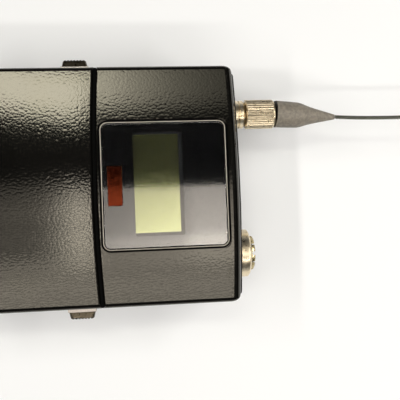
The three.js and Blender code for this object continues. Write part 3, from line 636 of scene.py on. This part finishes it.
def add_antenna_socket():
    a = low("antenna_socket")
    b = high("antenna_socket")
    collar_x = low("antenna_nut").x - 0.3
    outer = (b.z - a.z) / 2
    sunk = CASE_END - FLANGE_SUNK
    profile = [(a.x, SOCKET_SHANK_R), (sunk, SOCKET_SHANK_R), (sunk, outer - 0.3), (CASE_END + 0.1, outer),
               (CASE_END + 1.2, outer), (CASE_END + 1.35, outer - 0.25), (CASE_END + 1.6, outer - 0.25),
               (CASE_END + 1.75, outer), (collar_x - 0.4, outer), (collar_x, outer - 0.5),
               (collar_x, SOCKET_BORE_R), (b.x - 0.3, SOCKET_BORE_R), (b.x, SOCKET_BORE_R - 0.3)]
    socket = skinned("antenna_socket_body", turned(profile, axis_of("antenna_socket")))
    finish_piece(socket, "gold_plate", "base", "antenna_socket")


def add_boot():
    # A moulded strain relief: a barrel that narrows in an S to the wire.
    middle = axis_of("antenna_ferrule")
    root = Vector((high("antenna_ferrule").x, middle.y, middle.z))
    boot = skinned("antenna_strain_relief", turned(BOOT_PROFILE, root, 48, BOOT_TILT))
    finish_piece(boot, "boot_rubber", "base", "antenna_boot")


STRANDS = 3
STRAND_PITCH = 2.6
STRAND_STEPS = 12  # rings to a turn
STRAND_SIDES = 8
STRAND_R = 0.33
STRAND_OFFSET = 0.29  # each strand's middle from the wire's
RING_GAP = 1  # the CAD wire's rings stand further apart than this


def whip_centres():
    # The middle of each ring of the CAD wire, found as clusters of vertices along X.
    points = sorted((Vector(v.co) / MM for v in NODES["antenna_whip"].data.vertices), key=lambda p: p.x)
    rings = [[points[0]]]
    for point in points[1:]:
        if point.x - rings[-1][-1].x > RING_GAP:
            rings.append([])
        rings[-1].append(point)
    return [sum(ring, Vector()) / len(ring) for ring in rings]


def add_whip():
    centres = whip_centres()
    length = (centres[-1] - centres[0]).length
    stations = int(length / STRAND_PITCH * STRAND_STEPS)
    angles = [2 * math.pi * i / STRAND_SIDES for i in range(STRAND_SIDES)]
    bm = bmesh.new()
    for strand in range(STRANDS):
        rings = []
        for s in range(stations + 1):
            place = s / stations * (len(centres) - 1)
            k = min(int(place), len(centres) - 2)
            centre = centres[k].lerp(centres[k + 1], place - k)
            twist = 2 * math.pi * (s / STRAND_STEPS + strand / STRANDS)
            core = centre + Vector((0, math.cos(twist), math.sin(twist))) * STRAND_OFFSET
            rings.append([core + Vector((0, math.cos(t), math.sin(t))) * STRAND_R for t in angles])
        skin(bm, rings)
    wire = object_from("antenna_wire", bm)
    finish_piece(wire, "whip_wire", "whip", "antenna_whip")


# ---- input socket --------------------------------------------------------------------------------
JACK_SHANK_R = 5.2
JACK_BORE_R = 3.6
JACK_FLOOR_X = 36  # bottom of the bore
JACK_STEPS = 96
RING_BORE_R = 3.8
NOTCH_CUTS = 5  # each cuts two notches, one on each side
NOTCH_HALF = 0.55
NOTCH_REACH = 7
NOTCH_START = 0.35


def add_jack():
    # A flanged shell with a deep bore, and in front of it a ring whose face is notched.
    at = axis_of("input_jack_shell")
    face = high("input_jack_shell").x
    outer = (high("input_jack_shell").z - low("input_jack_shell").z) / 2
    back = low("input_jack_shell").x
    sunk = CASE_END - FLANGE_SUNK
    profile = [(back, JACK_SHANK_R), (sunk, JACK_SHANK_R), (sunk, outer - 0.35), (CASE_END, outer - 0.1),
               (CASE_END + 0.25, outer), (face - 0.75, outer), (face - 0.5, outer - 0.1),
               (face - 0.2, outer - 0.5), (face, outer - 1.0), (face, JACK_BORE_R + 0.15),
               (face - 0.15, JACK_BORE_R), (JACK_FLOOR_X, JACK_BORE_R), (JACK_FLOOR_X, 0.3)]
    shell = skinned("input_socket_shell", turned(profile, at, JACK_STEPS))
    finish_piece(shell, "gold_plate", "base", "input_jack_shell")
    x0 = face + 0.02
    x1 = high("input_jack_ring").x
    radius = (high("input_jack_ring").z - low("input_jack_ring").z) / 2
    profile = [(x0, radius), (x1 - 0.5, radius), (x1 - 0.25, radius - 0.12), (x1 - 0.08, radius - 0.32),
               (x1, radius - 0.55), (x1, RING_BORE_R + 0.15), (x1 - 0.15, RING_BORE_R), (x0, RING_BORE_R)]
    ring = skinned("input_socket_ring", turned(profile, at, JACK_STEPS), True)
    for i in range(NOTCH_CUTS):
        notch = bmesh.new()
        levels = soft_edges(x0 + NOTCH_START, x1 + 1, 0.1, 1)
        turn = Matrix.Rotation(math.pi * i / NOTCH_CUTS, 3, "X")
        rings = [[at + turn @ Vector((p.z, p.x, p.y)) for p in plan]
                 for plan in plate_rings(-NOTCH_HALF, NOTCH_HALF, -NOTCH_REACH, NOTCH_REACH, 0.2, levels, 2)]
        skin(notch, rings)
        cut(ring, object_from("cutter", notch))
    finish_piece(ring, "worn_gold", "base", "input_jack_ring")


# ---- battery cells -------------------------------------------------------------------------------
CELL_STEPS = 48
SLEEVE_END = 0.64  # where the printed sleeve stops, as a part of the cell's length


def add_cell(number):
    # A printed jacket with bare metal at both ends: flat at one, a button at the other.
    node = f"aa_cell_{number}"
    a = low(node)
    b = high(node)
    axis = axis_of(node)
    outer = (b.z - a.z) / 2
    ends = [Vector(v.co) / MM - axis for v in NODES[node].data.vertices if v.co.x / MM < a.x + 0.05]
    flat_first = max(p.yz.length for p in ends) > outer / 2
    start, way = (a.x, 1) if flat_first else (b.x, -1)
    length = b.x - a.x

    def along(*profile):
        return turned([(start + way * x, radius) for x, radius in profile], axis, CELL_STEPS)

    can = skinned(f"cell_can_{number}", along(
        (0, 4.6), (0, outer - 1.3), (0.25, outer - 0.75), (0.6, outer - 0.3), (length - 1.7, outer - 0.3),
        (length - 1.35, outer - 0.8), (length - 1.3, 3.1), (length - 1.25, 2.8), (length - 0.2, 2.65),
        (length, 2.3)))
    finish_piece(can, "steel", "base")
    jacket = skinned(f"cell_jacket_{number}", along(
        (0.25, outer - 0.9), (0.2, outer - 0.35), (0.5, outer), (length - 1.9, outer),
        (length - 1.5, outer - 0.35), (length - 1.45, outer - 1.0), (length - 1.6, outer - 1.0),
        (length - 1.75, outer - 0.28), (0.65, outer - 0.28)), True)
    finish_piece(jacket, "cell_jacket", "base", node)
    end = length * SLEEVE_END
    sleeve = skinned(f"cell_sleeve_{number}", along(
        (0.7, outer + 0.02), (end, outer + 0.02), (end, outer - 0.1), (0.7, outer - 0.1)), True)
    finish_piece(sleeve, "cell_print", "base")


# ---- seal along the seam, in painted shade -------------------------------------------------------
SEAM_SIDE_X = 3.6  # middle of the seal at the sides
SEAM_BOW = -1.15  # how far its middle bends toward the door
SEAL_SPREAD = 0.23  # how far its flat edge is widened toward the door
SEAL_PROUD = 0.26  # how far its outer faces stand out toward the case's


def add_seam_seal_painted_shade():
    # A copy of the CAD seal, widened and raised so that no light passes beside it, and near black with little
    # gloss: painted shade down the seam.
    mesh = NODES["door_seal"].data.copy()
    mesh.materials.clear()
    shade_gasket = bpy.data.objects.new("seam_seal_painted_shade", mesh)
    shade_gasket.matrix_world = NODES["door_seal"].matrix_world.copy()
    bpy.context.scene.collection.objects.link(shade_gasket)
    b = high("door_seal")
    for vertex in mesh.vertices:
        x, y, z = vertex.co / MM
        if x < SEAM_SIDE_X + SEAM_BOW * (1 - (y / b.y) ** 2):
            x -= SEAL_SPREAD
        if abs(y) > b.y - 0.5:
            y += math.copysign(SEAL_PROUD, y)
        if z > b.z - 0.5:
            z += SEAL_PROUD
        vertex.co = Vector((x, y, z)) * MM
    finish_piece(shade_gasket, "painted_shade_black", "base", "door_seal")


# ---- door latches --------------------------------------------------------------------------------
LATCH_X = -2.25
LATCH_Z = 15.6
LATCH_HALF = (3.8, 2.5)  # along X and Z, where it leaves the door
HALF_WIDTH = 33.0
GRIP_GROOVES = 6
GROOVE_PITCH = 0.85
GROOVE_HALF = 0.16
GROOVE_TALL = 0.75
LIP = 1.15  # bare steel flange where the pad leaves the door
LIP_MARGIN = 0.1
KEEPER_Y = 30  # inner face of the keeper


def add_latch(side, name):
    # A pressed pad whose ends slope in, with grip grooves across its face, and its keeper inside the door.
    a = low(f"door_latch_{name}")
    b = high(f"door_latch_{name}")
    proud = (b.y if side > 0 else -a.y) - HALF_WIDTH
    levels = [(-1.7, 0.0), (0.2, 0.0), (0.9, 0.12), (proud - 0.9, 0.42), (proud - 0.35, 0.56),
              (proud - 0.08, 0.8), (proud, 1.15)]
    half_x, half_z = LATCH_HALF
    rings = []
    for y, inset in levels:
        reach_x = half_x - inset
        reach_z = half_z - 0.7 * inset
        ring = plan_ring(-reach_x, reach_x, -reach_z, reach_z, 0.8, 0, 4)
        rings.append([Vector((LATCH_X + p.x, side * (HALF_WIDTH + y), LATCH_Z + p.y)) for p in ring])
    pad = skinned(f"latch_pad_{name}", rings)
    crest = side * (HALF_WIDTH + proud + 0.45)
    for i in range(GRIP_GROOVES):
        x = LATCH_X + (i - (GRIP_GROOVES - 1) / 2) * GROOVE_PITCH
        cut(pad, skinned("cutter", plate_rings(
            x - GROOVE_HALF, x + GROOVE_HALF, crest - GROOVE_TALL, crest + GROOVE_TALL, 0.12,
            [(0, LATCH_Z - 4), (0, LATCH_Z + 4)], 2)))
    finish_piece(pad, "latch_steel", f"latch_{name}", f"door_latch_{name}")
    lip_y = sorted((side * HALF_WIDTH, side * (HALF_WIDTH + LIP)))
    lip_half = half_x + LIP_MARGIN
    lip = skinned(f"latch_lip_{name}", plate_rings(
        LATCH_X - lip_half, LATCH_X + lip_half, *lip_y, 0.15,
        soft_edges(LATCH_Z - half_z, LATCH_Z + half_z + 0.2, 0.08, 1), 2))
    finish_piece(lip, "steel", f"latch_{name}")
    keeper = bmesh.new()
    for x0, x1, depth, z0, z1 in [(a.x, b.x, 1.2, 12.3, 18.9), (LATCH_X - 2, LATCH_X + 2, 1.0, a.z, 12.4)]:
        y0, y1 = sorted((side * KEEPER_Y, side * (KEEPER_Y + depth)))
        skin(keeper, plate_rings(x0, x1, y0, y1, 0.2, soft_edges(z0, z1, 0.15, 2), 2))
    finish_piece(object_from(f"latch_keeper_{name}", keeper), "steel", f"latch_{name}")


finish_cad_nodes()
add_display()
add_antenna_nut()
add_antenna_socket()
add_boot()
add_whip()
add_jack()
add_cell(1)
add_cell(2)
add_seam_seal_painted_shade()
add_latch(1, "upper")
add_latch(-1, "lower")
